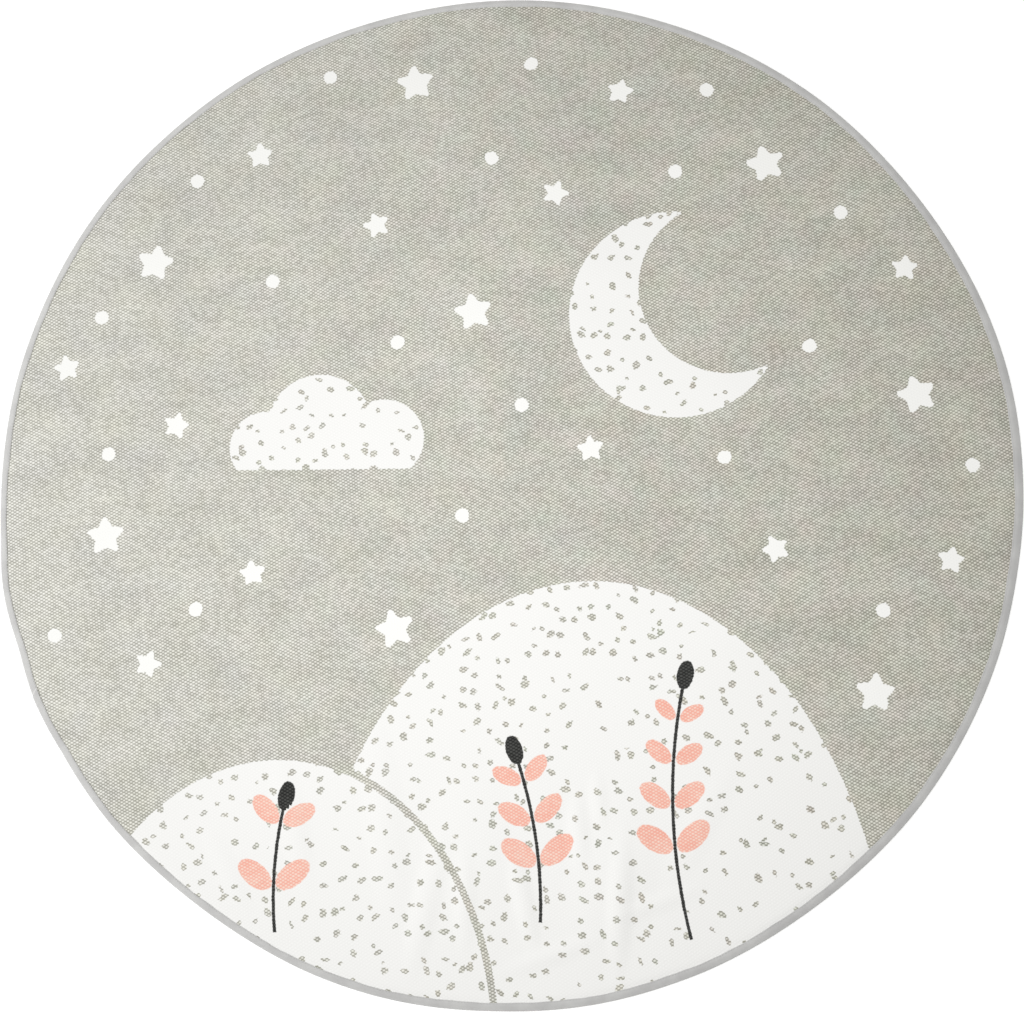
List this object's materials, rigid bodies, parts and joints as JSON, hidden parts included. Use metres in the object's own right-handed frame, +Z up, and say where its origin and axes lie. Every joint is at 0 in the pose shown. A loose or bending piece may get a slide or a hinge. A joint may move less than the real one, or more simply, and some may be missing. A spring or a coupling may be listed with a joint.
{
  "type": "round kids rug",
  "caption": "Flat round cotton play rug with a narrow taped edge, printed with stars, dots, a moon and a speckled hill.",
  "frame": {"origin": "on the floor under the middle of the rug's outline", "axes": "+Z up out of the printed face, +Y towards the top of the print"},
  "size_m": [0.9988, 1.0008, 0.0043],
  "materials": {
    "printed_cotton": "flat-woven cotton, grey printed ground with a white, coral and charcoal print, unprinted back",
    "cotton_tape": "smooth light grey cotton tape"
  },
  "bodies": {
    "root": {"rug_cloth": "printed_cotton", "edge_binding": "cotton_tape"}
  },
  "joints": []
}
